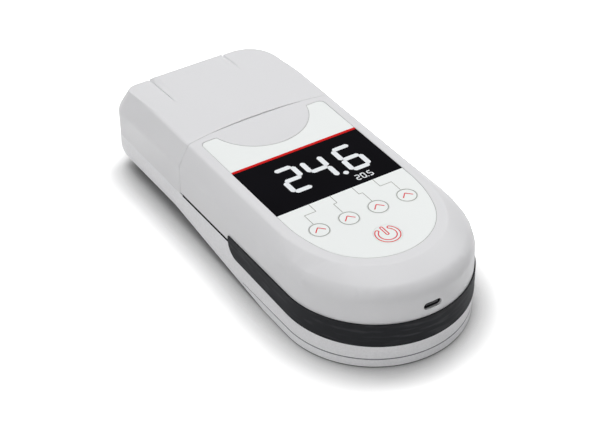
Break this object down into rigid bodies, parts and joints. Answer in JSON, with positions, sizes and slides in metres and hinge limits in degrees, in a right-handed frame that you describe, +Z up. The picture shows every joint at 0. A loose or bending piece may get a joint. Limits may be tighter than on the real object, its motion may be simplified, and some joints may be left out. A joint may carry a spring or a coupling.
{
  "type": "portable turbidity meter",
  "caption": "Handheld turbidity meter with a round front end, flat keys, a dark display window, a rubber grip band and a hinged rear lid over a sample well.",
  "frame": {"origin": "middle of the footprint, on the surface that the meter stands on", "axes": "+Z up, +Y towards the lid's hinge, the round front end towards -Y, +X to the right of a user facing +Y"},
  "size_m": [0.0928, 0.2128, 0.0462],
  "materials": {
    "casing_grey": "fine satin grain",
    "tub_grey": "fine grain",
    "band_rubber": "matte",
    "pin_steel": "satin",
    "magnet_nickel": "bright",
    "foam_black": "matte foam",
    "optics_black": "matte",
    "well_black": "satin",
    "lens_glass": "clear",
    "sensor_black": "gloss",
    "board_green": "solder mask",
    "face_white": "satin film",
    "window_black": "gloss",
    "lcd_glass": "clear",
    "frame_black": "matte",
    "key_white": "satin film",
    "dome_steel": "bright",
    "socket_steel": "satin",
    "ribbon_tan": "film",
    "tray_black": "matte",
    "cell_jacket": "printed film",
    "contact_nickel": "nickel",
    "screw_steel": "zinc",
    "foot_rubber": "matte",
    "cushion_rubber": "matte"
  },
  "bodies": {
    "casing": {"upper_casing": "casing_grey", "lower_casing": "tub_grey", "grip_band": "band_rubber", "hinge_pin": "pin_steel", "catch_magnets": "magnet_nickel", "light_baffle": "foam_black", "chamber_deck": "optics_black", "optical_block": "optics_black", "sample_well": "well_black", "well_cushion": "cushion_rubber", "emitter": "lens_glass", "lenses": "lens_glass", "detectors": "sensor_black", "emitter_board": "board_green", "detector_boards": "board_green", "main_board": "board_green", "key_board": "board_green", "rear_label": "face_white", "key_label": "face_white", "display_window": "window_black", "lcd_glass": "lcd_glass", "lcd_frame": "frame_black", "key_domes": "dome_steel", "usb_socket": "socket_steel", "display_ribbon": "ribbon_tan", "optics_ribbon": "ribbon_tan", "board_screws": "screw_steel", "deck_screws": "screw_steel", "casing_screws": "screw_steel", "battery_tray": "tray_black", "batteries": "cell_jacket", "contact_springs": "contact_nickel", "contact_plates": "contact_nickel", "rear_feet": "foot_rubber"},
    "lid": {"lid": "casing_grey", "lid_magnets": "magnet_nickel"},
    "battery_cover": {"battery_cover": "tub_grey", "front_feet": "foot_rubber"},
    "key_1": {"key_1": "key_white"},
    "key_2": {"key_2": "key_white"},
    "key_3": {"key_3": "key_white"},
    "key_4": {"key_4": "key_white"},
    "power_key": {"power_key": "key_white"}
  },
  "joints": [
    {"name": "lid_hinge", "type": "hinge", "parent": "casing", "child": "lid", "pos_m": [0, 0.1039, 0.021], "axis": [-1, 0, 0], "range_deg": [0, 100]},
    {"name": "battery_cover_slide", "type": "slide", "parent": "casing", "child": "battery_cover", "axis": [0, -1, 0], "range_m": [0, 0.008]},
    {"name": "key_1_press", "type": "slide", "parent": "casing", "child": "key_1", "axis": [0, 0, -1], "range_m": [0, 0.0004], "stiffness_N_per_m": 600},
    {"name": "key_2_press", "type": "slide", "parent": "casing", "child": "key_2", "axis": [0, 0, -1], "range_m": [0, 0.0004], "stiffness_N_per_m": 600},
    {"name": "key_3_press", "type": "slide", "parent": "casing", "child": "key_3", "axis": [0, 0, -1], "range_m": [0, 0.0004], "stiffness_N_per_m": 600},
    {"name": "key_4_press", "type": "slide", "parent": "casing", "child": "key_4", "axis": [0, 0, -1], "range_m": [0, 0.0004], "stiffness_N_per_m": 600},
    {"name": "power_key_press", "type": "slide", "parent": "casing", "child": "power_key", "axis": [0, 0, -1], "range_m": [0, 0.0004], "stiffness_N_per_m": 600}
  ]
}
